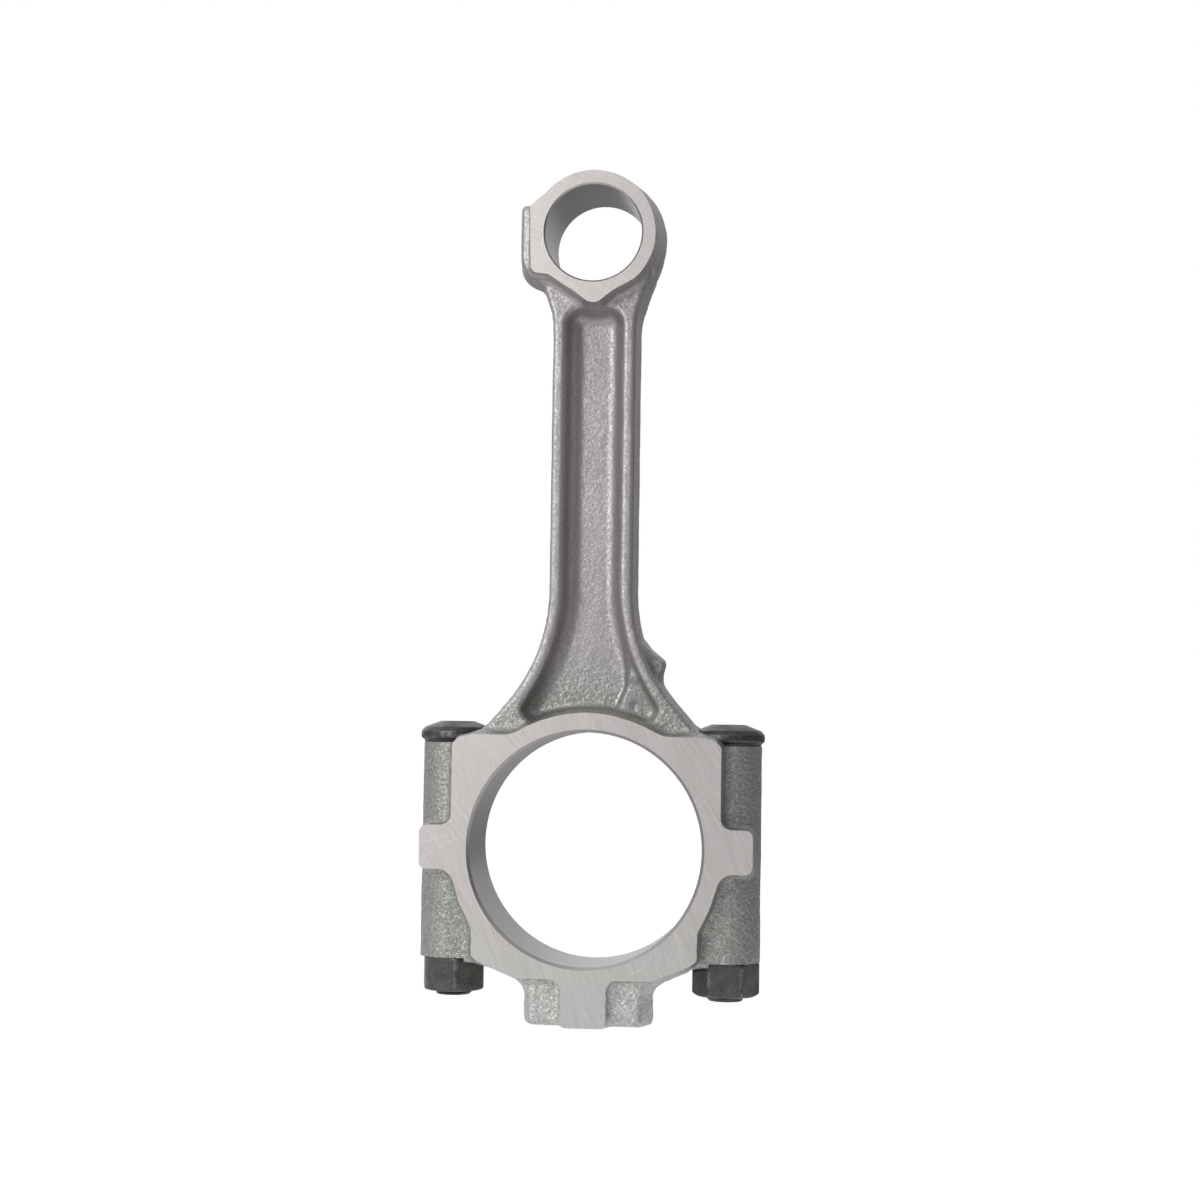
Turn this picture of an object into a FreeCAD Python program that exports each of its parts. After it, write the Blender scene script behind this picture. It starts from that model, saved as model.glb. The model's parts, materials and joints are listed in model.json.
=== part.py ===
"""Connecting rod of a small inline engine, with its bearing cap, two rod bolts and two nuts.

Millimetres. The origin is the centre of the crankpin (big end) bore. +Z runs up the beam to the
piston pin (small end) bore, +Y runs along both bores and +X points to the side with the forged nub.
"""
import FreeCAD, Part
import math
import os

Vector = FreeCAD.Vector

# Machined sizes
centre_distance = 149.225       # between the two bore centres
big_bore_r = 28.045             # crankpin housing bore, before its shells go in
small_bore_r = 11.8             # piston pin bore, a press fit on the pin
width = 27.0                    # over the ground faces of both ends
big_chamfer = 0.7               # at both mouths of the big bore
small_chamfer = 0.4             # at both mouths of the small bore

# Rod bolts and nuts, 3/8-24
bolt_x = 33.4                   # bolt axis from the bore centre
thread_r = 4.7625               # major radius of the thread
waist_r = 4.25                  # shank between its fitted lands
bolt_tip_z = -36.4
tip_chamfer = 0.8
thread_top_z = -17.0            # where the thread runs out into the waist
pilot_z = 6.0                   # half length of the fitted land across the joint face
land_z = 16.0                   # start of the pressed land under the head
head_seat_z = 25.2              # underside of the bolt head
head_height = 5.2
head_r = 8.9
head_undercut = 0.9             # in from the head's edge, at its seat
head_flat = 6.8                 # flat on the head's inner side, from the bolt axis
nut_seat_z = -27.0
nut_height = 8.3
nut_flats = 14.29               # 9/16 in across flats
land_r = thread_r + 0.02        # pressed land under the head
rod_hole_r = thread_r + 0.06
cap_hole_r = thread_r + 0.08
nut_clearance = 0.05            # nut bore over the thread
nut_mouth = 0.7                 # chamfer where the thread leaves the nut
left_nut_corner = 12.5          # degrees from -Y towards +X to a corner of the hexagon
right_nut_corner = 32.0

# Forging
draft = math.radians(7.0)       # draft of the forged outer walls
pocket_draft = math.radians(10.5)
ring_r = 32.7                   # big end ring at its ground faces
small_ring_r = 15.2             # small end ring at its ground faces
beam_half_width = 10.85         # at the forging's middle plane
flare_half_width = 27.8         # where the beam runs into the ring, at the middle plane
neck_half_width = 15.2          # where the beam runs into the small end, at the middle plane
beam_half_thickness = 8.0       # to the flange faces
web_half_thickness = 2.0
pocket_half_width = 7.1         # at the flange faces
small_pad_half_thickness = 11.0 # balance pad beside the small end
cap_pad_half_thickness = 10.0   # balance pad under the cap
boss_r = 8.2                    # bolt bosses
boss_wall = 12.0                # from each bolt axis in towards the ring
shoulder_x = 32.5               # outer edge of the ground face beside each bolt
shoulder_z = 27.2               # top of the ground face beside each bolt
ear_x = 40.2                    # outer edge of the joint faces' ears
ear_z = 5.3                     # half height of the ears
cap_pad_z = -42.5               # underside of the balance pad
seat_clearance = 0.1            # round the bolt head and its flat
nut_seat_r = 9.0                # spot face under the nut

half_width = width / 2
middle = Vector(0, 0, 0)
along_y = Vector(0, 1, 0)
up = Vector(0, 0, 1)


def mirrored(points):
    """Right-hand half outline, read upwards, plus its mirror image read downwards."""
    return points + [(-x, z, r) for x, z, r in reversed(points)]


def widened(points, grow):
    """Moves every side of a counter-clockwise outline out by grow, keeping its corners' centres."""
    moved = []
    for i, (x, z, r) in enumerate(points):
        before = points[i - 1]
        after = points[(i + 1) % len(points)]
        d1 = Vector(x - before[0], 0, z - before[1]).normalize()
        d2 = Vector(after[0] - x, 0, after[1] - z).normalize()
        n1 = Vector(d1.z, 0, -d1.x)
        n2 = Vector(d2.z, 0, -d2.x)
        step = (n1 + n2) * (grow / (1 + n1.dot(n2)))
        convex = d1.x * d2.z - d1.z * d2.x > 0
        radius = r and max(r + grow if convex else r - grow, 0.2)
        moved.append((x + step.x, z + step.z, radius))
    return moved


def outline(points, y):
    """Closed wire at depth y through (x, z, corner radius) points."""
    ends = []
    for i, (x, z, r) in enumerate(points):
        here = Vector(x, y, z)
        before = points[i - 1]
        after = points[(i + 1) % len(points)]
        back = (Vector(before[0], y, before[1]) - here).normalize()
        ahead = (Vector(after[0], y, after[1]) - here).normalize()
        half_angle = back.getAngle(ahead) / 2
        run = r / math.tan(half_angle)
        bisector = (back + ahead).normalize()
        nearest = here + bisector * (r / math.sin(half_angle) - r)
        ends.append((here + back * run, nearest, here + ahead * run, r))
    edges = []
    for i, (start, nearest, end, r) in enumerate(ends):
        if r:
            edges.append(Part.Arc(start, nearest, end).toShape())
        edges.append(Part.LineSegment(end, ends[(i + 1) % len(ends)][0]).toShape())
    return Part.Wire(edges)


def edges_at(shape, y):
    """Edges of shape that lie flat at depth y."""
    return [e for e in shape.Edges if abs(e.BoundBox.YMin - y) < 1e-4 and abs(e.BoundBox.YMax - y) < 1e-4]


def forged(points, depth, rounding=0.0):
    """Drafted forging: the outline at both faces, depth from the middle plane, widening towards it."""
    front = outline(points, -depth)
    centre = outline(widened(points, depth * math.tan(draft)), 0)
    half = Part.makeLoft([front, centre], True, True)
    if rounding:
        half = half.makeFillet(rounding, edges_at(half, -depth))
    return half.fuse(half.mirror(middle, along_y)).removeSplitter()


def drafted_disc(radius, centre_z):
    """Round boss through the full width, widest at the middle plane."""
    widest = radius + half_width * math.tan(draft)
    base = Vector(0, 0, centre_z)
    half = Part.makeCone(widest, radius, half_width, base, -along_y)
    return half.fuse(half.mirror(middle, along_y)).removeSplitter()


def bore_cutter(radius, chamfer, centre_z):
    """Through bore along Y with a 45 degree chamfer at both mouths."""
    start = Vector(0, -width, centre_z)
    cutter = Part.makeCylinder(radius, 2 * width, start, along_y)
    for side in (-1, 1):
        mouth = Vector(0, side * half_width, centre_z)
        cone = Part.makeCone(radius + chamfer, radius, chamfer, mouth, along_y * -side)
        cutter = cutter.fuse(cone)
    return cutter


def beam():
    """I-section beam with its flare into the big end and its pocket on each side."""
    inset = beam_half_thickness * math.tan(draft)
    flare = flare_half_width - inset
    straight = beam_half_width - inset
    body = forged(mirrored([(flare, 20, 0), (flare, 26.9, 0), (straight, 46.7, 42), (straight, 129.4, 20),
                            (neck_half_width - inset, 143, 0)]), beam_half_thickness, 0.9)
    floor_inset = (beam_half_thickness - web_half_thickness) * math.tan(pocket_draft)
    mouth = mirrored([(13.2, 28, 0), (16.9, 33.8, 1.8), (pocket_half_width, 50.2, 50),
                      (pocket_half_width, 131.8, 4.2)])
    bottom = outline(widened(mouth, -floor_inset), -web_half_thickness)
    pocket = Part.makeLoft([bottom, outline(mouth, -beam_half_thickness)], True, True)
    pocket = pocket.makeFillet(1.2, edges_at(pocket, -web_half_thickness))
    return body.cut([pocket, pocket.mirror(middle, along_y)])


def small_end():
    """Pin end: ring, forged balance pad on the left, its ground land and the tongue over the beam."""
    ring = drafted_disc(small_ring_r, centre_distance)
    pad = forged([(-17.9, 156.3, 1.5), (-17.9, 139.6, 2), (-9, 138.2, 0), (-9, 156.3, 0)],
                 small_pad_half_thickness, 0.8)
    land = forged([(-15.5, 156.0, 0.5), (-15.5, 139.5, 1.3), (-9.5, 138.2, 0), (-9.5, 158.2, 0)],
                  half_width)
    tongue = forged([(0, 131.3, 2), (6, 136.3, 0), (-6, 136.3, 0)], half_width)
    return [ring, pad, land, tongue]


def nub():
    """Forged nub on the right flank of the flare, and the raised facet inside the pocket by it."""
    lug = forged([(11, 40, 0), (16.3, 40.8, 1), (17.4, 45.7, 1), (12.6, 49.2, 0), (11, 49.2, 0)], 3.8, 0.8)
    facet = forged([(6.8, 33, 0), (15.5, 33, 0), (10.2, 43.5, 0.5)], 3.4, 0.6)
    return [lug, facet]


def bolt_boss(side, low, high):
    """Round boss along a bolt axis, joined to the ring by a straight wall."""
    boss = Part.makeCylinder(boss_r, high - low, Vector(side * bolt_x, 0, low), up)
    wall = Part.makeBox(boss_wall, 2 * boss_r, high - low, Vector(bolt_x - boss_wall, -boss_r, low))
    return [boss, wall if side > 0 else wall.mirror(middle, Vector(1, 0, 0))]


def joint_ears():
    """Full-width ears at the joint between rod and cap."""
    ears = []
    for side in (-1, 1):
        corners = [(21, -ear_z, 0), (ear_x, -ear_z, 1), (ear_x, ear_z, 1), (21, ear_z, 0)]
        if side < 0:
            corners = [(-x, z, r) for x, z, r in reversed(corners)]
        face = Part.Face(outline(corners, -half_width))
        ears.append(face.extrude(Vector(0, width, 0)))
    return ears


def bolt_holes(radius):
    """Both bolt holes, through rod and cap."""
    reach = head_seat_z - nut_seat_z
    return [Part.makeCylinder(radius, 2 * reach, Vector(side * bolt_x, 0, -reach), up)
            for side in (-1, 1)]


def head_seats():
    """Spot faces for the bolt heads, with the flat wall that keeps each head from turning."""
    seats = []
    for side in (-1, 1):
        centre = Vector(side * bolt_x, 0, head_seat_z)
        round_part = Part.makeCylinder(head_r + seat_clearance, 12, centre, up)
        reach = 2 * head_r
        start_x = bolt_x - head_flat - seat_clearance
        block = Part.makeBox(reach, 2 * reach, 14, Vector(start_x, -reach, head_seat_z - 1))
        if side < 0:
            block = block.mirror(middle, Vector(1, 0, 0))
        seats.append(round_part.common(block))
    return seats


def nut_seats():
    """Spot faces under the nuts."""
    return [Part.makeCylinder(nut_seat_r, 12, Vector(side * bolt_x, 0, nut_seat_z - 12), up)
            for side in (-1, 1)]


def half_space(sign):
    """Everything on one side of the joint face, z = 0."""
    size = 400
    return Part.makeBox(size, size, size, Vector(-size / 2, -size / 2, 0 if sign > 0 else -size))


def rod_body():
    """Forged rod: beam, small end and the upper half of the big end."""
    ring = drafted_disc(ring_r, 0)
    shoulders = forged(mirrored([(shoulder_x, -10, 0), (shoulder_x, shoulder_z, 1.6)]), half_width)
    pieces = small_end() + [ring, shoulders] + joint_ears() + nub()
    for side in (-1, 1):
        pieces += bolt_boss(side, 0, head_seat_z)
    body = beam().fuse(pieces).common(half_space(1))
    cutters = bolt_holes(rod_hole_r) + head_seats()
    cutters.append(bore_cutter(big_bore_r, big_chamfer, 0))
    cutters.append(bore_cutter(small_bore_r, small_chamfer, centre_distance))
    return body.cut(cutters).removeSplitter()


def bearing_cap():
    """Cap: lower half of the big end, with its balance pad and both nut seats."""
    land = forged(mirrored([(5.5, cap_pad_z, 0), (5.5, -31.3, 2.5), (16.6, -31.3, 2), (25.6, -27.9, 1.8),
                            (27.3, -26.6, 1), (27.3, -20, 3), (30.2, -13.5, 6), (32.4, -6.6, 1.5),
                            (34.5, -ear_z, 0), (34.5, 10, 0)]), half_width)
    pad = forged(mirrored([(14.5, cap_pad_z, 0), (14.5, -31.6, 5), (24, -28.5, 0), (24, 5, 0)]),
                 cap_pad_half_thickness, 0.9)
    pieces = [pad] + joint_ears()
    for side in (-1, 1):
        pieces += bolt_boss(side, nut_seat_z, 0)
    below_pad = Part.makeBox(200, 200, 50, Vector(-100, -100, cap_pad_z - 50))
    body = land.fuse(pieces).common(half_space(-1))
    cutters = [bore_cutter(big_bore_r, big_chamfer, 0), below_pad] + bolt_holes(cap_hole_r) + nut_seats()
    return body.cut(cutters).removeSplitter()


def rod_bolt(side):
    """Rod bolt: low domed head with one flat, pressed land, pilot land at the joint and thread."""
    taper = thread_r - waist_r
    shank = [(0, bolt_tip_z), (thread_r - tip_chamfer, bolt_tip_z), (thread_r, bolt_tip_z + tip_chamfer),
             (thread_r, thread_top_z), (waist_r, thread_top_z + taper), (waist_r, -pilot_z - taper),
             (thread_r, -pilot_z), (thread_r, pilot_z), (waist_r, pilot_z + taper),
             (waist_r, land_z - taper), (land_r, land_z), (land_r, head_seat_z)]
    neck_r = head_r - head_undercut
    head = [(neck_r, 0), (neck_r, 0.4), (head_r, 1.0), (head_r, 2.7), (head_r - 0.6, 3.7),
            (4.4, head_height - 0.15), (3.9, head_height), (0, head_height)]
    corners = [Vector(r, 0, z) for r, z in shank] + [Vector(r, 0, head_seat_z + h) for r, h in head]
    face = Part.Face(Part.makePolygon(corners + corners[:1]))
    bolt = face.revolve(middle, up, 360)
    flat = Part.makeBox(10, 40, 20, Vector(-head_flat - 10, -20, head_seat_z - 0.01))
    bolt = bolt.cut(flat)
    if side < 0:
        bolt = bolt.mirror(middle, Vector(1, 0, 0))
    bolt.translate(Vector(side * bolt_x, 0, 0))
    return bolt


def rod_nut(side, corner_angle):
    """Hexagon nut, one corner at corner_angle from -Y towards +X, both end faces chamfered."""
    corner_r = nut_flats / math.sqrt(3)
    bottom = nut_seat_z - nut_height
    corners = []
    for k in range(7):
        angle = math.radians(corner_angle + 60 * k)
        corners.append(Vector(corner_r * math.sin(angle), -corner_r * math.cos(angle), bottom))
    hexagon = Part.Face(Part.makePolygon(corners)).extrude(Vector(0, 0, nut_height))
    flats_r = nut_flats / 2
    slope = math.tan(math.radians(30))
    drop = (corner_r - flats_r + 0.3) * slope
    chamfer = [(0, bottom), (flats_r - 0.3, bottom), (corner_r, bottom + drop),
               (corner_r, nut_seat_z - drop / 2), (flats_r + 0.35, nut_seat_z), (0, nut_seat_z)]
    rim = [Vector(r, 0, z) for r, z in chamfer]
    turned = Part.Face(Part.makePolygon(rim + rim[:1])).revolve(middle, up, 360)
    bore_r = thread_r + nut_clearance
    hole = Part.makeCylinder(bore_r, 3 * nut_height, Vector(0, 0, bottom - nut_height), up)
    mouth = Part.makeCone(bore_r + nut_mouth, bore_r, nut_mouth, Vector(0, 0, bottom), up)
    nut = hexagon.common(turned).cut([hole, mouth])
    nut.translate(Vector(side * bolt_x, 0, 0))
    return nut


os.makedirs("parts", exist_ok=True)
parts = {
    "rod_body": rod_body(),
    "bearing_cap": bearing_cap(),
    "rod_bolt_left": rod_bolt(-1),
    "rod_bolt_right": rod_bolt(1),
    "rod_nut_left": rod_nut(-1, left_nut_corner),
    "rod_nut_right": rod_nut(1, right_nut_corner),
}
for node, shape in parts.items():
    shape.exportStep("parts/" + node + ".step")
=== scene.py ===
import json
import math

import bmesh
import bpy
import numpy as np
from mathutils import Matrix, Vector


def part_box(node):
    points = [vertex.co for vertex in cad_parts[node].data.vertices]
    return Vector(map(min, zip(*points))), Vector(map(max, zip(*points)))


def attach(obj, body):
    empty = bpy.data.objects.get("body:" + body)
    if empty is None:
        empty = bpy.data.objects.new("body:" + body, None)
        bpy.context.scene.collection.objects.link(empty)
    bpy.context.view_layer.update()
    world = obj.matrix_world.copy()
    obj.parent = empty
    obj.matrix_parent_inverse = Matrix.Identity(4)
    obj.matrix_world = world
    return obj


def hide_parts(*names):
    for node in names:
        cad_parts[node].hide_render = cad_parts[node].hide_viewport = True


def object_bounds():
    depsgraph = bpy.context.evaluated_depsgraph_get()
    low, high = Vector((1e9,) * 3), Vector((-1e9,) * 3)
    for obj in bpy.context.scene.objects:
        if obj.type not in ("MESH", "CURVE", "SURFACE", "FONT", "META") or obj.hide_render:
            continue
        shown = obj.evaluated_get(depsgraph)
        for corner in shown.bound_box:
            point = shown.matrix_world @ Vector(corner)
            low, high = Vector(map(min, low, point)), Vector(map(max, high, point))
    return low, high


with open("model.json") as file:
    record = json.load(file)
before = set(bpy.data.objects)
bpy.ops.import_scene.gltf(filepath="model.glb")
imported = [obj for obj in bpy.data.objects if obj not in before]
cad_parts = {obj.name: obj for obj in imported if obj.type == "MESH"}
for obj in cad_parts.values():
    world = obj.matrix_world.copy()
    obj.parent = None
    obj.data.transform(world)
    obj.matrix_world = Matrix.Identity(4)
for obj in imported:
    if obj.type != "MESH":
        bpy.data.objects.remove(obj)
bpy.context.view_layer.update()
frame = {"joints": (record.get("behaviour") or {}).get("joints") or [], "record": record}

import openvdb
from mathutils import Matrix, Vector, noise

MM = 0.001

# Sizes read from the frame, in millimetres
mounts = {m["name"]: m for m in frame["record"]["mounts"]}
joints = {j["name"]: j for j in frame["joints"]}
big_bore_r = mounts["big_end_bore"]["dims"]["r_mm"]
small_bore_r = mounts["small_end_bore"]["dims"]["r_mm"]
small_z = mounts["small_end_bore"]["pos_m"][2] / MM
half_width = mounts["thrust_face_rear"]["pos_m"][1] / MM
bolt_x = joints["nut_right_turn"]["pos_m"][0] / MM
nut_seat_z = joints["nut_right_turn"]["pos_m"][2] / MM
nut_bottom_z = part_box("rod_nut_left")[0].z / MM
bolt_tip_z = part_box("rod_bolt_left")[0].z / MM
bolt_top_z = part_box("rod_bolt_left")[1].z / MM
head_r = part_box("rod_bolt_left")[1].y / MM
pad_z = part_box("bearing_cap")[0].z / MM
nut_turns = joints["nut_right_turn"]["range_deg"][1] / 360
pitch = joints["cap_slide"]["range_m"][1] / MM / nut_turns

# Machined sizes
big_chamfer = 0.7
small_chamfer = 0.4
head_seat_z = 25.2
head_flat = 6.8                 # from the bolt's axis to the flat side of its head
seat_play = 0.1                 # between a bolt head and the walls of its seat
thread_r = 4.7625
thread_top_z = -17.0
waist_r = 4.25
rod_hole_r = thread_r + 0.06
cap_hole_r = thread_r + 0.08
nut_flats = 14.29               # across flats
nut_worn_r = 7.85               # the corners are worn bright outside this radius
nut_bore_r = thread_r + 0.05
nut_seat_r = 9.0
nut_corner = {"left": 12.5, "right": 32}    # degrees from the front towards +X

# Forging
draft = math.radians(7.0)
stock = 0.7                     # left on the end faces for grinding
big_bore_stock = 2.5
small_bore_stock = 2.0
seat_stock = 1                  # left on the bolt seats for spot-facing
joint_stock = 5                 # bosses past the joint face, before it is cut
ring_r = 32.7
small_ring_r = 15.2
beam_half_width = 10.85
flare_half_width = 27.8
neck_half_width = 15.2
beam_half_thickness = 8.0
web_half_thickness = 2.0
pocket_half_width = 7.1
boss_r = 8.2
boss_wall_x = 22                # where the walls from the bosses end inside the ring
small_pad_half_thickness = 11.0
cap_pad_half_thickness = 10.6
facet_half_thickness = 3.4
nub_half_thickness = 4.6
shoulder_x = 32.5
shoulder_z = 27.2
ear_x = 40.2
ear_z = 5.3
ear_inner_x = 20
pad_top_z = -31.0               # the forging is rougher below this

# Grids and cutting blocks, well clear of the part where they cut nothing
forging_step = 0.4
hardware_step = 0.22
grid_x = 44
grid_y = 15.2
far_x = 60
far_y = 30
far_z = 60
far_top_z = 200


# Outlines: lists of (out, up, corner radius) points, counter-clockwise

def mirrored(points):
    """Right-hand half outline, read upwards, plus its mirror image read downwards."""
    return points + [(-x, z, r) for x, z, r in reversed(points)]


def arc(centre_z, radius, start, end, steps):
    """Points from angle start to angle end, in degrees from +X, round a centre on the Z axis."""
    turns = [math.radians(start + (end - start) * k / steps) for k in range(steps + 1)]
    return [(radius * math.cos(t), centre_z + radius * math.sin(t), 0) for t in turns]


def rounded(points, arc_steps=10):
    """Closed outline with its corners turned into arcs."""
    path = []
    for i, (x, z, r) in enumerate(points):
        corner = Vector((x, z))
        if not r:
            path.append(corner)
            continue
        back = (Vector(points[i - 1][:2]) - corner).normalized()
        ahead = (Vector(points[(i + 1) % len(points)][:2]) - corner).normalized()
        half_angle = back.angle(ahead) / 2
        centre = corner + (back + ahead).normalized() * r / math.sin(half_angle)
        start = corner + back * r / math.tan(half_angle) - centre
        turn = math.copysign(math.pi - 2 * half_angle, ahead.x * back.y - ahead.y * back.x)
        for k in range(arc_steps + 1):
            path.append(centre + Matrix.Rotation(turn * k / arc_steps, 2) @ start)
    return path


# Signed distances in millimetres, negative inside the metal

def outside(u, v, points):
    """Distance outside a closed outline, for grids of its two coordinates."""
    path = rounded(points)
    nearest = np.float32(1e9)
    within = False
    for a, b in zip(path, path[1:] + path[:1]):
        du, dv = b.x - a.x, b.y - a.y
        length2 = du * du + dv * dv
        if length2 < 1e-12:         # the same point twice
            continue
        t = np.clip(((u - a.x) * du + (v - a.y) * dv) / length2, 0, 1)
        nearest = np.minimum(nearest, (u - a.x - t * du) ** 2 + (v - a.y - t * dv) ** 2)
        crossed = ((a.y <= v) != (b.y <= v)) & (u < a.x + (v - a.y) * du / (dv or 1))
        within = within ^ crossed
    distance = np.sqrt(nearest)
    return np.where(within, -distance, distance).astype(np.float32)


def both(a, b, r=0.0):
    """Where a and b overlap, with the outer edge between them rounded to radius r."""
    if not r:
        return np.maximum(a, b)
    return np.minimum(np.maximum(a, b), -r) + np.hypot(np.maximum(a + r, 0), np.maximum(b + r, 0))


def either(a, b, r=0.0):
    """a and b joined, with a fillet of radius r in the corner between them."""
    if not r:
        return np.minimum(a, b)
    return np.maximum(np.minimum(a, b), r) - np.hypot(np.maximum(r - a, 0), np.maximum(r - b, 0))


def without(a, b, r=0.0):
    """a with b taken out, the edge between them rounded to radius r."""
    return both(a, -b, r)


class Block:
    """Grid of points over a box: coordinates, distance out from x = 0 and depth from the middle plane."""

    def __init__(self, low, high, step):
        self.low = np.array(low, float)
        self.step = step
        counts = [int(math.ceil((h - l) / step)) + 1 for l, h in zip(low, high)]
        axes = [(l + step * np.arange(n)).astype(np.float32) for l, n in zip(low, counts)]
        self.x, self.y, self.z = np.meshgrid(*axes, indexing="ij", sparse=True)
        self.out = np.abs(self.x)
        self.depth = np.abs(self.y)

    def forged(self, points, depth, r=0.0, top=None, lean=draft):
        """Outline at its level depth, its walls leaning outwards to the middle plane, flat front at top."""
        wall = outside(self.x, self.z, points) - (depth - self.depth) * math.tan(lean)
        return both(wall * math.cos(lean), self.depth - (depth if top is None else top), r)


def beam(b):
    """I-section beam: drafted sides under slightly spread flange faces, and a deep pocket."""
    spread_start = 6.7
    spread_height = 0.5
    spread_width = 0.3
    pocket_lean = 1.7 * draft
    inset = beam_half_thickness * math.tan(draft)
    flare = flare_half_width - inset
    straight = beam_half_width - inset
    edge = mirrored([(flare, 20, 0), (flare, 26.9, 0), (straight, 46.7, 42),
                     (straight, 129.4, 20), (neck_half_width - 1 - inset, 140, 0), (9, 147, 0)])
    wall = outside(b.x, b.z, edge) - (beam_half_thickness - b.depth) * math.tan(draft)
    lip = spread_width * np.clip((b.depth - spread_start) / spread_height, 0, 1)
    body = both((wall - lip) * math.cos(draft), b.depth - beam_half_thickness, 0.9)
    mouth = mirrored([(13.2, 27, 0), (17.1, 33.6, 1.8), (pocket_half_width, 50.2, 50),
                      (pocket_half_width, 131.8, 4.2)])
    wall = outside(b.x, b.z, mouth) + (beam_half_thickness - b.depth) * math.tan(pocket_lean)
    pocket = both(wall, web_half_thickness - b.depth, 2.8)
    return without(body, pocket, 0.8)


def facet(b):
    """Raised triangle in the lower right corner of the pocket, with a small dent in it."""
    foot_z = 34
    rise = 0.12
    dent_r = 1.4
    shape = outside(b.x, b.z, [(4.8, 30, 0), (19, 30, 0), (19, foot_z, 0), (10.8, 45.6, 0.6)])
    shape = both(shape, b.depth - facet_half_thickness - rise * (b.z - foot_z), 1.4)
    dent = np.sqrt((b.x - 10.6) ** 2 + (b.depth - 4.7) ** 2 + (b.z - 34.4) ** 2) - dent_r
    return without(shape, dent, 0.4)


def small_end(b):
    """Pin end: ring, balance pad on the left with its ground land, and the tongue over the beam."""
    ring = arc(small_z, small_ring_r, -48, 140, 40)
    tongue_x = small_ring_r * math.cos(math.radians(-58))
    land = ring + [(-15.5, 155.8, 0.7), (-15.2, 139.5, 1.7), (-11, 139.0, 3), (-4.9, 135.0, 3),
                   (0.2, 131.1, 3.2), (4.8, 134.9, 3), (tongue_x, 136.7, 3)]
    land = b.forged(land, half_width, 0, half_width + stock)
    pad = [(-17.9, 138.9, 4.6), (-5, 138.4, 0), (-5, 156.4, 0), (-17.9, 156.4, 1.2)]
    pad = b.forged(pad, small_pad_half_thickness, 1.1)
    return either(land, pad, 0.7)


def nub(b):
    """Lump on the right flank of the flare, hollowed in front."""
    outline = [(9, 41, 0), (16.4, 40.6, 0.8), (17.6, 45.3, 1.2), (12.4, 49.6, 1.5), (9, 49.6, 0)]
    lug = b.forged(outline, nub_half_thickness, 1.3)
    hollow_r = 1.9
    depth = (b.depth - 6.2) / 1.4
    height = (b.z - 43.2) / 1.7
    hollow = np.sqrt((b.x - 15.6) ** 2 + depth ** 2 + height ** 2) - hollow_r
    return without(lug, hollow, 0.8)


def bosses(b, low, high):
    """Bolt bosses, each joined to the ring by a straight wall."""
    wall = both(both(b.depth - boss_r, b.out - bolt_x), boss_wall_x - b.out)
    boss = np.minimum(np.hypot(b.out - bolt_x, b.y) - boss_r, wall)
    return both(boss, both(low - b.z, b.z - high))


def ears(b):
    """Straight-sided ears at the joint faces, the full width of the rod."""
    ear = both(b.out - ear_x, np.abs(b.z) - ear_z, 1.8)
    return both(both(ear, ear_inner_x - b.out), b.depth - half_width - stock)


def rod_forging():
    """Rod before machining: a crown over the big bore between two shoulders, beam and small end."""
    b = Block((-grid_x, -grid_y, -1.6), (grid_x, grid_y, 168), forging_step)
    turn = math.radians(30)
    foot = ring_r * math.sin(turn) + (ring_r * math.cos(turn) - shoulder_z) / math.tan(turn)
    land = mirrored([(shoulder_x, -8, 0), (shoulder_x, 24.9, 0.8), (31.0, 26.5, 1.0),
                     (27.6, shoulder_z, 4), (foot, shoulder_z, 8),
                     (ring_r * math.tan(turn / 2), ring_r, ring_r)])
    land = b.forged(land, half_width, 0, half_width + stock)
    shape = either(beam(b), facet(b), 1.0)
    shape = either(shape, small_end(b), 1.6)
    shape = either(shape, nub(b), 1.5)
    shape = either(shape, either(land, ears(b), 2.6), 1.7)
    shape = either(shape, bosses(b, -joint_stock, head_seat_z + seat_stock), 1.5)
    shape = without(shape, np.hypot(b.x, b.z) - big_bore_r + big_bore_stock)
    return b, without(shape, np.hypot(b.x, b.z - small_z) - small_bore_r + small_bore_stock)


def cap_forging():
    """Cap before machining: half ring with its ears, bosses and the balance pad underneath."""
    b = Block((-grid_x, -grid_y, -44.6), (grid_x, grid_y, 1.6), forging_step)
    land = mirrored([(5.5, pad_z, 1.3), (5.5, pad_top_z, 2.5), (16.4, pad_top_z, 2),
                     (25.6, -27.2, 1.8), (27.2, -26.0, 1), (27.2, -19.3, 3), (30.2, -13.2, 6),
                     (32.8, -ear_z, 0), (32.8, 8, 0)])
    land = either(b.forged(land, half_width, 0, half_width + stock), ears(b), 2.6)
    pad = mirrored([(13.5, pad_z + 0.6, 0.8), (13.5, -32.0, 7), (25.5, -26.5, 0), (25.5, 5, 0)])
    pad = b.forged(pad, cap_pad_half_thickness, 1.0, lean=math.radians(12.5))
    shape = either(land, pad, 0.8)
    shape = either(shape, bosses(b, nut_seat_z - seat_stock, joint_stock), 1.6)
    return b, without(shape, np.hypot(b.x, b.z) - big_bore_r + big_bore_stock)


def bolt_head():
    """Low domed head of the right-hand bolt, flat on its inner side and undercut at the seat."""
    reach = 10
    low = (bolt_x - reach, -reach, head_seat_z - 1)
    high = (bolt_x + reach, reach, bolt_top_z + 1)
    b = Block(low, high, hardware_step)
    radius = np.hypot(b.x - bolt_x, b.y)
    up = b.z - head_seat_z
    top = bolt_top_z - head_seat_z
    outline = [(-9, 0, 0), (head_r - 0.9, 0, 0.2), (head_r - 0.8, 0.5, 0.2), (head_r, 1.1, 0.5),
               (head_r, 2.7, 0.6), (head_r - 0.9, 3.7, 0.8), (4.1, top, 0.8), (-9, top, 0)]
    head = outside(radius, up, outline)
    return b, both(head, bolt_x - head_flat - b.x, 0.35)


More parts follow.
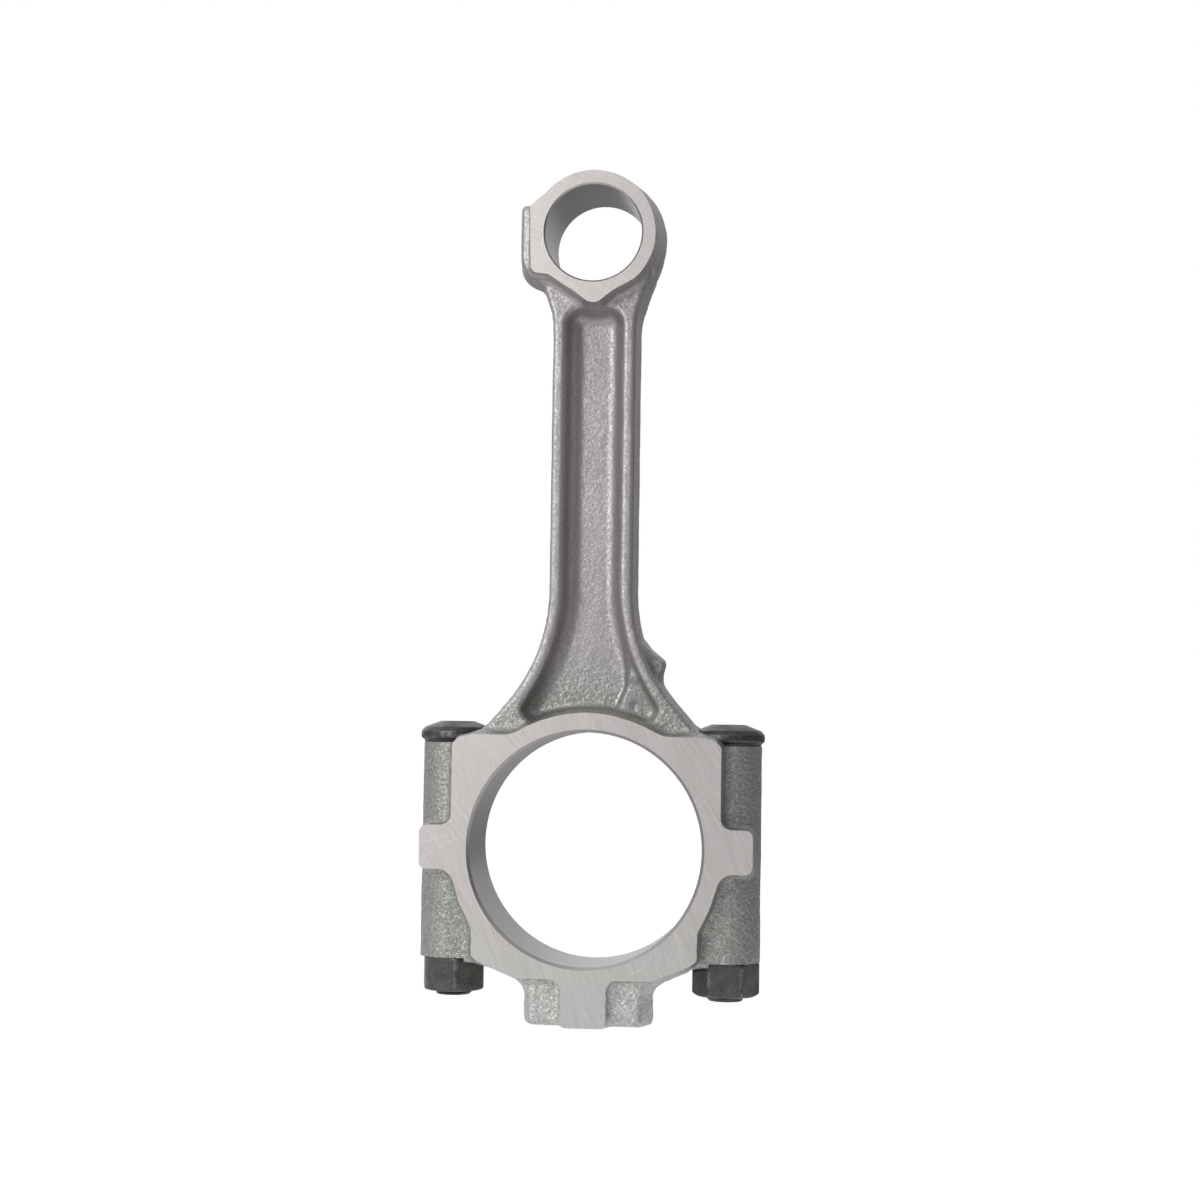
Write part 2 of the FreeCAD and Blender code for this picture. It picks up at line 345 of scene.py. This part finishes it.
def nut(side):
    """Hexagon nut with both ends chamfered and a countersunk bore."""
    x = bolt_x if side == "right" else -bolt_x
    reach = 9.5
    margin = 0.8
    low = (x - reach, -reach, nut_bottom_z - margin)
    high = (x + reach, reach, nut_seat_z + margin)
    b = Block(low, high, hardware_step)
    u, v = b.x - x, b.y
    hexagon = -np.inf
    for k in range(3):
        angle = math.radians(nut_corner[side] + 30 + 60 * k)
        across = np.abs(u * math.sin(angle) - v * math.cos(angle)) - nut_flats / 2
        hexagon = both(hexagon, across, 0.3) if k else across
    radius = np.hypot(u, v)
    slope = math.radians(30)
    bottom_rim = nut_flats / 2 - 0.3
    seat_rim = nut_flats / 2 + 0.35
    for end, sign, rim in ((nut_bottom_z, -1, bottom_rim), (nut_seat_z, 1, seat_rim)):
        past = sign * (b.z - end)
        cone = (radius - rim) * math.sin(slope) + past * math.cos(slope)
        hexagon = both(both(hexagon, cone, 0.12), past, 0.12)
    hole = both(radius - nut_bore_r, np.maximum(nut_bottom_z - 1 - b.z, b.z - nut_seat_z - 1))
    mouth = (radius - nut_bore_r - 0.7 + (b.z - nut_bottom_z)) * math.sqrt(0.5)
    return b, without(hexagon, np.minimum(hole, mouth), 0.1)


# Meshes

def new_object(name, mesh):
    """Puts a mesh into the scene as an object."""
    made = bpy.data.objects.new(name, mesh)
    bpy.context.scene.collection.objects.link(made)
    return made


def surface(name, b, shape):
    """Closed mesh of the zero level of a distance grid, in metres."""
    band = 3 * b.step
    grid = openvdb.FloatGrid(band)
    grid.copyFromArray(np.ascontiguousarray(np.clip(shape, -band, band), dtype=np.float32))
    points, triangles, quads = grid.convertToPolygons(isovalue=0.0, adaptivity=0.0)
    places = (points * b.step + b.low) * MM
    faces = [tuple(face) for part in (quads, triangles) for face in part[:, ::-1].tolist()]
    mesh = bpy.data.meshes.new(name)
    mesh.from_pydata(places.tolist(), [], faces)
    return new_object(name, mesh)


def from_bmesh(name, shape):
    """Turns a bmesh, already in metres, into an object."""
    mesh = bpy.data.meshes.new(name)
    shape.to_mesh(mesh)
    shape.free()
    return new_object(name, mesh)


def settle(thing):
    """Replaces the mesh by what its modifiers make of it."""
    graph = bpy.context.evaluated_depsgraph_get()
    made = bpy.data.meshes.new_from_object(thing.evaluated_get(graph))
    thing.modifiers.clear()
    thing.data = made
    return thing


def skin_rings(shape, rings):
    """Faces between neighbouring rings of vertices, with the first and last ring closed."""
    for low, high in zip(rings, rings[1:]):
        for k in range(len(low)):
            n = (k + 1) % len(low)
            shape.faces.new((low[k], low[n], high[n], high[k]))
    shape.faces.new(rings[0][::-1])
    shape.faces.new(rings[-1])


def lathe(profile, centre, axis, sides=192):
    """Closed turned body from (radius, height) points."""
    shape = bmesh.new()
    turns = [2 * math.pi * k / sides for k in range(sides)]
    rings = []
    for r, h in profile:
        rings.append([shape.verts.new((r * math.cos(t), r * math.sin(t), h)) for t in turns])
    skin_rings(shape, rings)
    turn = Vector((0, 0, 1)).rotation_difference(Vector(axis)).to_matrix().to_4x4()
    shape.transform(Matrix.Translation(Vector(centre) * MM) @ turn @ Matrix.Scale(MM, 4))
    return from_bmesh("turned", shape)


def block(low, high):
    """Box between two corners in millimetres."""
    shape = bmesh.new()
    bmesh.ops.create_cube(shape, size=1)
    size = [(h - l) * MM for l, h in zip(low, high)]
    middle = [(h + l) / 2 * MM for l, h in zip(low, high)]
    shape.transform(Matrix.Translation(middle) @ Matrix.Diagonal((*size, 1)))
    return from_bmesh("block", shape)


def combine(thing, others, operation="DIFFERENCE"):
    """Cuts the others out of the thing, or joins or intersects them, and removes them."""
    for other in others:
        change = thing.modifiers.new("combine", "BOOLEAN")
        change.solver = "MANIFOLD"
        change.operation = operation
        change.object = other
    settle(thing)
    for other in others:
        bpy.data.objects.remove(other)
    return thing


def bore(radius, chamfer, z):
    """Cutter for a bore along Y, flared at both ends to chamfer the mouths at 45 degrees."""
    past = 4
    mouth = radius + chamfer + past
    profile = [(mouth, -half_width - past), (radius, chamfer - half_width),
               (radius, half_width - chamfer), (mouth, half_width + past)]
    return lathe(profile, (0, 0, z), (0, 1, 0), 360)


def cylinder(radius, x, low, high):
    """Upright cylinder over a point of the X axis."""
    return lathe([(radius, low), (radius, high)], (x, 0, 0), (0, 0, 1))


def ground_faces():
    """Everything outside the two ground end faces."""
    front = block((-far_x, -far_y, -far_z), (far_x, -half_width, far_top_z))
    rear = block((-far_x, half_width, -far_z), (far_x, far_y, far_top_z))
    return [front, rear]


def head_seat(side):
    """Spot face for a bolt head, with the flat wall that keeps the head from turning."""
    start = bolt_x - head_flat - seat_play
    low, high = sorted((side * start, side * (start + 40)))
    seat = cylinder(head_r + seat_play, side * bolt_x, head_seat_z, head_seat_z + 12)
    return combine(seat, [block((low, -far_y, 0), (high, far_y, far_z))], "INTERSECT")


def roughen(thing, fine_height, slow_height):
    """Shot-blasted forging: shallow dents over a slow unevenness, heights in millimetres."""
    dent_size = 1.4
    swell_size = 9
    underside = 2.4
    mesh = thing.data
    places = np.empty(len(mesh.vertices) * 3, np.float32)
    mesh.vertices.foreach_get("co", places)
    places = places.reshape(-1, 3)
    normals = np.empty_like(places)
    mesh.vertex_normals.foreach_get("vector", normals.ravel())
    heights = np.empty(len(places), np.float32)
    for k, position in enumerate(places.tolist()):
        p = Vector(position) / MM
        fine = underside * fine_height if p.z < pad_top_z else fine_height
        heights[k] = fine * noise.noise(p / dent_size) + slow_height * noise.noise(p / swell_size)
    places += normals * (heights * MM)[:, None]
    mesh.vertices.foreach_set("co", places.ravel())
    mesh.update()


def thin(thing, triangles):
    """Fewer faces where the surface is flat."""
    change = thing.modifiers.new("thin", "DECIMATE")
    change.ratio = min(1.0, triangles / (2 * len(thing.data.polygons)))
    return settle(thing)


def make_rod():
    """Rod forging cut at the joint face, ground, bored and drilled for its two bolts."""
    rod = thin(surface("rod", *rod_forging()), 150000)
    roughen(rod, 0.06, 0.12)
    cutters = ground_faces()
    cutters.append(block((-far_x, -far_y, -far_z), (far_x, far_y, 0)))
    cutters.append(bore(big_bore_r, big_chamfer, 0))
    cutters.append(bore(small_bore_r, small_chamfer, small_z))
    for side in (-1, 1):
        cutters += [cylinder(rod_hole_r, side * bolt_x, -10, far_z), head_seat(side)]
    return combine(rod, cutters)


def make_cap():
    """Cap forging cut at the joint face and under the pad, ground, bored, drilled and spot-faced."""
    cap = thin(surface("cap", *cap_forging()), 90000)
    roughen(cap, 0.08, 0.12)
    cutters = ground_faces()
    cutters.append(block((-far_x, -far_y, 0), (far_x, far_y, far_z)))
    cutters.append(block((-far_x, -far_y, -far_z), (far_x, far_y, pad_z)))
    cutters.append(bore(big_bore_r, big_chamfer, 0))
    for side in (-1, 1):
        cutters += [cylinder(cap_hole_r, side * bolt_x, -far_z, 10),
                    cylinder(nut_seat_r, side * bolt_x, nut_seat_z - 20, nut_seat_z)]
    return combine(cap, cutters)


def threaded_shank():
    """Shank of the right-hand bolt: 60 degree thread, two plain lands and the waists between them."""
    sides = 60
    steps_per_turn = 10
    root = 5 / 8 * math.sqrt(0.75) * pitch
    tip_chamfer = 0.8
    joint_land = 6
    head_land = 16
    head_land_r = thread_r + 0.02
    taper = 0.5
    steps = int((thread_top_z - bolt_tip_z) / pitch * steps_per_turn)
    thread = [bolt_tip_z + k * pitch / steps_per_turn for k in range(steps + 1)]
    plain = [(waist_r, thread_top_z + taper), (waist_r, -joint_land - taper), (thread_r, -joint_land),
             (thread_r, joint_land), (waist_r, joint_land + taper), (waist_r, head_land - taper),
             (head_land_r, head_land), (head_land_r, head_seat_z + 2)]
    shape = bmesh.new()
    rings = []
    for z in thread + [z for _, z in plain]:
        ring = []
        for k in range(sides):
            if z <= thread_top_z:
                # An eighth of the pitch is crest, a quarter is root, and the flanks take the rest
                turn = (z / pitch - k / sides) % 1
                flank = min(max((2 * abs(turn - 0.5) - 1 / 8) / (5 / 8), 0), 1)
                r = min(thread_r - root * flank, thread_r - tip_chamfer + z - bolt_tip_z)
            else:
                r = plain[len(rings) - len(thread)][0]
            t = 2 * math.pi * k / sides
            ring.append(shape.verts.new((bolt_x + r * math.cos(t), r * math.sin(t), z)))
        rings.append(ring)
    skin_rings(shape, rings)
    shape.transform(Matrix.Scale(MM, 4))
    return from_bmesh("shank", shape)


def make_bolt(side):
    """The left-hand bolt is the right-hand one turned half a turn round the rod's upright axis."""
    bolt = combine(surface("bolt", *bolt_head()), [threaded_shank()], "UNION")
    if side == "left":
        bolt.data.transform(Matrix.Rotation(math.pi, 4, "Z"))
    return bolt


def make_nut(side):
    """Each side's own nut, turned as it is in the photograph."""
    return surface("nut", *nut(side))


# Finishes: procedural, in the piece's own coordinates in millimetres

def node(tree, kind, inputs, **settings):
    """New node; an input may be a value or another node's output."""
    made = tree.nodes.new(kind)
    for name, value in settings.items():
        setattr(made, name, value)
    for name, value in inputs.items():
        if isinstance(value, bpy.types.NodeSocket):
            tree.links.new(value, made.inputs[name])
        else:
            made.inputs[name].default_value = value
    return made


def finish(name, metallic):
    """New material with its node tree, its shader and the coordinates in millimetres."""
    mat = bpy.data.materials.new(name)
    mat.use_nodes = True
    tree = mat.node_tree
    shader = tree.nodes["Principled BSDF"]
    shader.inputs["Metallic"].default_value = metallic
    own = tree.nodes.new("ShaderNodeTexCoord").outputs["Object"]
    places = vector(tree, "SCALE", own, Scale=1 / MM)
    return mat, tree, shader, places


def vector(tree, operation, a, b=None, output="Vector", **inputs):
    """Vector maths on one or two inputs."""
    given = {0: a, **inputs}
    if b is not None:
        given[1] = b
    return node(tree, "ShaderNodeVectorMath", given, operation=operation).outputs[output]


def sums(tree, operation, a, b=0.0):
    """Maths on one or two values."""
    return node(tree, "ShaderNodeMath", {0: a, 1: b}, operation=operation).outputs[0]


def spread(tree, value, low, high, start=0.0, end=1.0):
    """Maps low to start and high to end, and holds start or end beyond them."""
    inputs = {"Value": value, "From Min": low, "From Max": high, "To Min": start, "To Max": end}
    return node(tree, "ShaderNodeMapRange", inputs).outputs["Result"]


def grain(tree, places, size, detail=2.0):
    """Noise with grains of a size in millimetres."""
    inputs = {"Vector": places, "Scale": 1 / size, "Detail": detail}
    return node(tree, "ShaderNodeTexNoise", inputs).outputs["Fac"]


def blend(tree, factor, a, b, how="MIX"):
    """Colour a where the factor is 0, colour b where it is 1."""
    made = node(tree, "ShaderNodeMix", {}, data_type="RGBA", blend_type=how)
    for socket, value in ((made.inputs[0], factor), (made.inputs[6], a), (made.inputs[7], b)):
        if isinstance(value, bpy.types.NodeSocket):
            tree.links.new(value, socket)
        else:
            socket.default_value = value
    return made.outputs[2]


def grey(value):
    """Neutral colour."""
    return (value, value, value, 1)


def wander(tree, places, size, detail, reach):
    """Slow noise around zero; reach is its whole width from end to end."""
    return sums(tree, "MULTIPLY", sums(tree, "SUBTRACT", grain(tree, places, size, detail), 0.5), reach)


def shade(tree, colour, value, low, high):
    """Colour made darker or lighter: times low where value is 0, times high where it is 1."""
    return blend(tree, 1.0, colour, blend(tree, value, grey(low), grey(high)), "MULTIPLY")


def dress(tree, shader, colour, roughness, height, depth):
    """Links colour, roughness and a bump of the given depth in millimetres."""
    tree.links.new(colour, shader.inputs["Base Color"])
    tree.links.new(roughness, shader.inputs["Roughness"])
    bump = node(tree, "ShaderNodeBump", {"Height": height, "Strength": 1.0, "Distance": depth * MM})
    tree.links.new(bump.outputs["Normal"], shader.inputs["Normal"])


def arc_lines(tree, places, centre, width, length):
    """Fine lines along circles round a far centre, a width apart, each about a length long."""
    away = vector(tree, "SUBTRACT", places, centre)
    radius = vector(tree, "LENGTH", away, output="Value")
    along = vector(tree, "SCALE", places, Scale=1 / length)
    scaled = sums(tree, "MULTIPLY", radius, 1 / width)
    across = node(tree, "ShaderNodeCombineXYZ", {0: scaled}).outputs[0]
    return grain(tree, vector(tree, "ADD", along, across), 1, 3)


def skin_finish():
    """Shot-blasted forging: grey-green and coarse low down, smoother and pinkish up the beam."""
    mat, tree, shader, places = finish("forged_skin", 0.8)
    green_grey = (0.40, 0.412, 0.39, 1)
    pink_grey = (0.47, 0.45, 0.445, 1)
    pale_underside = (0.62, 0.635, 0.61, 1)
    painted_glint_colour = (0.86, 0.87, 0.86, 1)

    # Tint by height, with ragged borders
    height = node(tree, "ShaderNodeSeparateXYZ", {0: places}).outputs["Z"]
    patches = wander(tree, places, 14, 3, 60)
    on_beam = spread(tree, sums(tree, "ADD", height, patches), 24, 52)
    colour = blend(tree, on_beam, green_grey, pink_grey)
    foot = spread(tree, sums(tree, "ADD", height, sums(tree, "MULTIPLY", patches, 0.2)), -27, -32)
    colour = blend(tree, foot, colour, pale_underside)

    # Speckle, weaker up the beam, then painted glints
    speckle = spread(tree, grain(tree, places, 0.6, 2), 0.32, 0.68)
    coarse = shade(tree, colour, speckle, 0.74, 1.22)
    fine = shade(tree, colour, speckle, 0.92, 1.08)
    colour = blend(tree, sums(tree, "MULTIPLY", on_beam, 0.8), coarse, fine)
    # Painted glints: bright specks of colour in place of light sparkling off the grains, mostly low down
    painted_glints = spread(tree, grain(tree, places, 0.42, 1), 0.64, 0.70, 0, 0.6)
    painted_glints = sums(tree, "MULTIPLY", painted_glints, spread(tree, on_beam, 0, 1, 1.0, 0.25))
    colour = blend(tree, painted_glints, colour, painted_glint_colour)

    # Dents of two sizes
    small_dents = sums(tree, "MULTIPLY", grain(tree, places, 0.35), 0.5)
    dents = sums(tree, "ADD", grain(tree, places, 0.9, 2), small_dents)
    dents = sums(tree, "MULTIPLY", dents, spread(tree, on_beam, 0, 1, 1.0, 0.3))
    dress(tree, shader, colour, spread(tree, speckle, 0, 1, 0.54, 0.36), dents, 0.24)
    return mat


def ground_finish():
    """Ground steel: two crossing families of fine arcs, a few longer scratches and one tool mark."""
    mat, tree, shader, places = finish("ground_steel", 0.85)
    green_grey = (0.665, 0.68, 0.655, 1)
    pink_grey = (0.70, 0.66, 0.65, 1)
    scratch_bright = (0.93, 0.92, 0.92, 1)

    # Tint by height, with a ragged border
    height = node(tree, "ShaderNodeSeparateXYZ", {0: places}).outputs["Z"]
    drift = wander(tree, places, 18, 2, 40)
    tint = spread(tree, sums(tree, "ADD", height, drift), -34, -14)
    colour = blend(tree, tint, green_grey, pink_grey)

    # Grinding lines round two far centres
    one = arc_lines(tree, places, (-108, 0, -60), 0.12, 16)
    two = arc_lines(tree, places, (150, 0, 45), 0.14, 12)
    lines = sums(tree, "ADD", sums(tree, "MULTIPLY", one, 0.6), sums(tree, "MULTIPLY", two, 0.4))
    colour = shade(tree, colour, spread(tree, lines, 0.38, 0.62), 0.84, 1.1)

    # Tool mark: an arc on the cap's front, drawn only on the side away from the big bore
    mark_centre = (9.5, -half_width, -22.6)
    mark_r = 7.0
    away_from_bore = (0.74, 0, -0.67)
    away = vector(tree, "DISTANCE", places, mark_centre, output="Value")
    mark = spread(tree, sums(tree, "ABSOLUTE", sums(tree, "SUBTRACT", away, mark_r)), 0.0, 0.16, 1, 0)
    along = vector(tree, "DOT_PRODUCT", places, away_from_bore, output="Value")
    mark = sums(tree, "MULTIPLY", mark, spread(tree, along, 27.0, 28.4))

    scratches = mark
    for centre, width in (((90, 0, 140), 0.5), ((-60, 0, 110), 0.6), ((10, 0, -90), 0.55)):
        marks = spread(tree, arc_lines(tree, places, centre, width, 9), 0.71, 0.76)
        scratches = sums(tree, "MAXIMUM", scratches, marks)
    colour = blend(tree, sums(tree, "MULTIPLY", scratches, 0.5), colour, scratch_bright)
    relief = sums(tree, "SUBTRACT", lines, sums(tree, "MULTIPLY", scratches, 0.5))
    dress(tree, shader, colour, spread(tree, lines, 0.3, 0.7, 0.34, 0.5), relief, 0.012)
    return mat


def bored_finish():
    """Bored and honed wall: fine rings round the bore."""
    mat, tree, shader, places = finish("bored_steel", 1.0)
    green_grey = (0.47, 0.475, 0.465, 1)
    pink_grey = (0.50, 0.48, 0.475, 1)
    squeezed = vector(tree, "MULTIPLY", places, (0.05, 9, 0.05))
    rings = grain(tree, squeezed, 1, 3)
    tint = spread(tree, grain(tree, places, 12, 2), 0.4, 0.6)
    colour = blend(tree, tint, green_grey, pink_grey)
    colour = shade(tree, colour, spread(tree, rings, 0.35, 0.65), 0.88, 1.1)
    dress(tree, shader, colour, spread(tree, rings, 0.3, 0.7, 0.26, 0.38), rings, 0.006)
    return mat


def from_bolt_axis(tree, places):
    """Distance from the nearer bolt's axis."""
    away = vector(tree, "SUBTRACT", vector(tree, "ABSOLUTE", places), (bolt_x, 0, 0))
    return vector(tree, "LENGTH", vector(tree, "MULTIPLY", away, (1, 1, 0)), output="Value")


def turned_finish():
    """Spot face, chamfer and drilled hole: rings round the bolt."""
    mat, tree, shader, places = finish("spot_faced_steel", 1.0)
    groove_grey = (0.52, 0.52, 0.51, 1)
    crest_grey = (0.66, 0.65, 0.64, 1)
    rings_per_mm = 8
    radius = sums(tree, "MULTIPLY", from_bolt_axis(tree, places), rings_per_mm)
    rings = grain(tree, node(tree, "ShaderNodeCombineXYZ", {0: radius}).outputs[0], 1, 2)
    colour = blend(tree, spread(tree, rings, 0.35, 0.65), groove_grey, crest_grey)
    dress(tree, shader, colour, spread(tree, rings, 0.3, 0.7, 0.3, 0.42), rings, 0.01)
    return mat


def oxide_finish(name, dark, light, worn_radius):
    """Black oxide: mottled, with bright wear where the piece is furthest from its bolt axis."""
    mat, tree, shader, places = finish(name, 0.8)
    worn_grey = (0.34, 0.33, 0.32, 1)
    worn_edge = 0.35
    mottle = spread(tree, grain(tree, places, 3.2, 3), 0.38, 0.64)
    colour = blend(tree, mottle, dark, light)
    fine = grain(tree, places, 0.4, 2)
    colour = shade(tree, colour, spread(tree, fine, 0.35, 0.65), 0.82, 1.2)
    edge = spread(tree, from_bolt_axis(tree, places), worn_radius, worn_radius + worn_edge)
    wear = sums(tree, "MULTIPLY", edge, spread(tree, grain(tree, places, 1.1, 3), 0.42, 0.6))
    colour = blend(tree, sums(tree, "MULTIPLY", wear, 0.6), colour, worn_grey)
    dress(tree, shader, colour, spread(tree, mottle, 0, 1, 0.38, 0.28), fine, 0.02)
    return mat


def mark_machined(thing):
    """Finish of each face of a forging, by where it lies and which way it faces."""
    skin_index, ground_index, bored_index, turned_index = range(4)
    polygons = thing.data.polygons
    centres = np.empty(len(polygons) * 3, np.float32)
    normals = np.empty(len(polygons) * 3, np.float32)
    polygons.foreach_get("center", centres)
    polygons.foreach_get("normal", normals)
    x, y, z = centres.reshape(-1, 3).T / MM
    across, facing, up = np.abs(normals.reshape(-1, 3).T)
    near = 0.02
    square = 0.999
    ground = (facing > square) & (np.abs(np.abs(y) - half_width) < near)
    ground |= (up > square) & (np.abs(z) < near)
    bored = np.hypot(x, z) < big_bore_r + big_chamfer
    bored |= np.hypot(x, z - small_z) < small_bore_r + small_chamfer
    chamfer = bored & (facing > 0.5)
    spot = (up > square) & ((np.abs(z - head_seat_z) < near) | (np.abs(z - nut_seat_z) < near))
    spot |= np.hypot(np.abs(x) - bolt_x, y) < cap_hole_r + near
    seat_wall_x = bolt_x - head_flat - seat_play
    spot |= (across > square) & (z > head_seat_z) & (np.abs(np.abs(x) - seat_wall_x) < near)
    kinds = [ground, chamfer, bored, spot]
    indices = [ground_index, turned_index, bored_index, turned_index]
    slots = np.select(kinds, indices, skin_index)
    polygons.foreach_set("material_index", slots.astype(np.int32))


def place(thing, name, body, node_name, finishes):
    """Names and shades a piece, gives it its finishes, ties it to its body and hides the CAD node it
    replaces.
    """
    thing.name = name
    thing.data.name = name
    thing.data.shade_smooth()
    thing.data.set_sharp_from_angle(angle=math.radians(32))
    thing.data.materials.clear()
    for mat in finishes:
        thing.data.materials.append(mat)
    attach(thing, body)
    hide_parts(node_name)


forging = [skin_finish(), ground_finish(), bored_finish(), turned_finish()]
bolt_black = oxide_finish("bolt_black", (0.06, 0.062, 0.068, 1), (0.10, 0.10, 0.108, 1), head_r - 0.2)
nut_black = oxide_finish("nut_black", (0.10, 0.095, 0.092, 1), (0.145, 0.138, 0.13, 1), nut_worn_r)

for thing, body, node_name in ((make_rod(), "rod", "rod_body"), (make_cap(), "cap", "bearing_cap")):
    place(thing, body + "_forging", body, node_name, forging)
    mark_machined(thing)
for side in ("left", "right"):
    place(make_bolt(side), "bolt_" + side, "rod", "rod_bolt_" + side, [bolt_black])
    place(make_nut(side), "hex_nut_" + side, "nut_" + side, "rod_nut_" + side, [nut_black])


# Camera, floor and light, in metres

def photo_camera():
    """Camera where the photograph was taken from: in front, a little to the right and low."""
    camera = bpy.data.objects.new("camera", bpy.data.cameras.new("camera"))
    scene.collection.objects.link(camera)
    camera.data.sensor_width = 36
    camera.data.lens = 71.66
    camera.data.clip_start = 0.01
    camera.data.clip_end = 100
    gaze = Vector((-0.10799, 0.99284, 0.05108))
    roll = Matrix.Rotation(math.radians(0.81), 3, "Z").to_quaternion()
    camera.location = Vector((0.06489, -0.58346, 0.03055))
    camera.rotation_mode = "QUATERNION"
    camera.rotation_quaternion = gaze.to_track_quat("-Z", "Y") @ roll
    scene.camera = camera


def paper_floor():
    """White paper to the camera; for the steel to reflect, a pool of light near the object."""
    under = (0, 0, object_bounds()[0].z)
    bpy.ops.mesh.primitive_circle_add(vertices=64, radius=30, fill_type="NGON", location=under)
    floor = bpy.context.object
    floor.name = "floor"
    paper = bpy.data.materials.new("paper")
    paper.use_nodes = True
    tree = paper.node_tree
    sheet = tree.nodes["Principled BSDF"]
    sheet.inputs["Base Color"].default_value = grey(0.03)
    sheet.inputs["Roughness"].default_value = 0.9
    sheet.inputs["Specular IOR Level"].default_value = 0
    sheet.inputs["Emission Color"].default_value = grey(1)
    pool_centre = (-0.2, -0.2, 0)
    on_floor = tree.nodes.new("ShaderNodeTexCoord").outputs["Object"]
    away = vector(tree, "DISTANCE", on_floor, pool_centre, output="Value")
    pool = spread(tree, away, 0.28, 0.62, 0.68, 0.2)
    seen = tree.nodes.new("ShaderNodeLightPath").outputs["Is Camera Ray"]
    tree.links.new(sums(tree, "MAXIMUM", seen, pool), sheet.inputs["Emission Strength"])
    floor.data.materials.append(paper)


def studio():
    """White room to the camera; the steel reflects light from behind, the left and above."""
    world = bpy.data.worlds.new("studio")
    world.use_nodes = True
    tree = world.node_tree
    direction = tree.nodes.new("ShaderNodeTexCoord").outputs["Generated"]
    split = node(tree, "ShaderNodeSeparateXYZ", {0: direction})
    back = spread(tree, split.outputs["Y"], 0.3, 0.9, 0.0, 0.38)
    left = spread(tree, split.outputs["X"], 0.15, -0.25, 0.03, 0.5)
    top = spread(tree, split.outputs["Z"], 0.1, 0.8, 0.0, 0.45)
    light = sums(tree, "ADD", sums(tree, "ADD", back, left), top)
    seen = tree.nodes.new("ShaderNodeLightPath").outputs["Is Camera Ray"]
    tree.links.new(sums(tree, "MAXIMUM", light, seen), tree.nodes["Background"].inputs["Strength"])
    tree.nodes["Background"].inputs["Color"].default_value = grey(1)
    scene.world = world


def softbox(name, centre, size, power):
    """Square area light aimed at the lower part of the rod; size in metres, power in watts."""
    aim = Vector((0, 0, 0.05))
    light = bpy.data.lights.new(name, "AREA")
    light.shape = "SQUARE"
    light.size = size
    light.energy = power
    lamp = bpy.data.objects.new(name, light)
    scene.collection.objects.link(lamp)
    lamp.location = centre
    lamp.rotation_mode = "QUATERNION"
    lamp.rotation_quaternion = (aim - Vector(centre)).to_track_quat("-Z", "Y")


scene = bpy.context.scene
scene.view_settings.view_transform = "Standard"
photo_camera()
paper_floor()
studio()
softbox("key", (-0.28, -0.51, 0.21), 0.32, 0.98)
